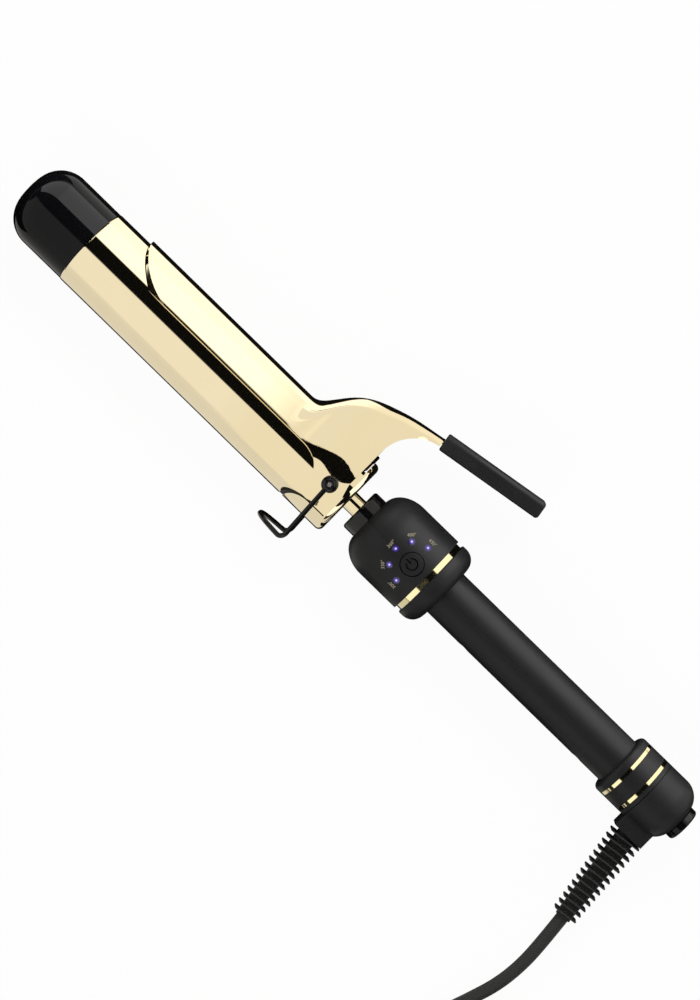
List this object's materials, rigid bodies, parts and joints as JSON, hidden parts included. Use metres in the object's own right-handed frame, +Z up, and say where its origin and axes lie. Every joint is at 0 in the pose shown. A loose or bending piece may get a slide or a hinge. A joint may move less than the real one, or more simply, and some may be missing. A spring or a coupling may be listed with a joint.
{
  "type": "curling iron",
  "caption": "Curling iron with a gold barrel, a sprung spoon clip, a folding wire stand, a straight black handle with a control head and a swivel cord.",
  "frame": {"origin": "on the table under the middle of the iron, its free cord left out, which lies on its side", "axes": "+X along the iron from the barrel tip to the cord end, +Y towards the clip and its lever, +Z up from the table along both hinge pins"},
  "size_m": [0.4793, 0.28, 0.0484],
  "materials": {
    "gold": "polished pale gold plating",
    "gold_trim": "polished gold trim",
    "black_gloss": "glossy black, heat resistant",
    "black_soft": "satin soft-touch black",
    "black_rubber": "matte black flexible",
    "black_metal": "black oxide coating",
    "steel": "plain steel",
    "aluminium": "extruded",
    "ceramic": "fired white ceramic",
    "board": "green laminate",
    "lens": "blue-violet light pipe",
    "contact": "plain brass"
  },
  "bodies": {
    "iron": {"barrel_tube": "gold", "barrel_cover": "gold", "tip_cap": "black_gloss", "barrel_end": "gold", "stop_screw": "contact", "heater_plate": "ceramic", "spreader_clip_side": "aluminium", "spreader_stand_side": "aluminium", "temperature_sensor": "steel", "heater_leads": "black_rubber", "hinge_block": "steel", "pivot_screws": "black_metal", "clip_springs": "steel", "neck_tube": "gold", "nose_ring": "black_gloss", "housing_clip_side": "black_soft", "housing_stand_side": "black_soft", "housing_screws": "black_metal", "head_band": "gold_trim", "bead_ring": "black_soft", "led_lenses": "lens", "control_board": "board", "tact_switch": "black_gloss", "end_collar": "black_soft", "collar_bands": "gold_trim", "swivel_spindle": "contact", "slip_rings": "contact"},
    "clip": {"clip": "gold", "lever_sleeve": "black_soft", "spring_pins": "steel"},
    "stand": {"stand_wire": "black_metal"},
    "power_button": {"power_button": "black_soft"},
    "swivel": {"swivel_dome": "black_soft", "end_disc": "black_gloss", "contact_brushes": "contact", "strain_relief": "black_rubber", "cord_lead": "black_rubber", "cord_coil": "black_rubber", "cord_tail": "black_rubber", "cord_tie": "black_rubber", "plug_body": "black_rubber", "plug_blades": "contact"}
  },
  "joints": [
    {"name": "clip_hinge", "type": "hinge", "parent": "iron", "child": "clip", "pos_m": [-0.015, -0.01321, 0.0242], "axis": [0, 0, -1], "range_deg": [0, 23], "stiffness_Nm_per_rad": 0.6, "springref_deg": -20.05, "deforming": ["clip_springs"]},
    {"name": "stand_hinge", "type": "hinge", "parent": "iron", "child": "stand", "pos_m": [-0.015, -0.01321, 0.0242], "axis": [0, 0, 1], "range_deg": [-20, 74]},
    {"name": "button_press", "type": "slide", "parent": "iron", "child": "power_button", "axis": [0, 0, -1], "range_m": [0, 0.0008], "stiffness_N_per_m": 1500, "springref_m": -0.0002},
    {"name": "cord_swivel", "type": "hinge", "parent": "iron", "child": "swivel", "pos_m": [0.1977, -0.01321, 0.0242], "axis": [1, 0, 0], "continuous": true}
  ]
}
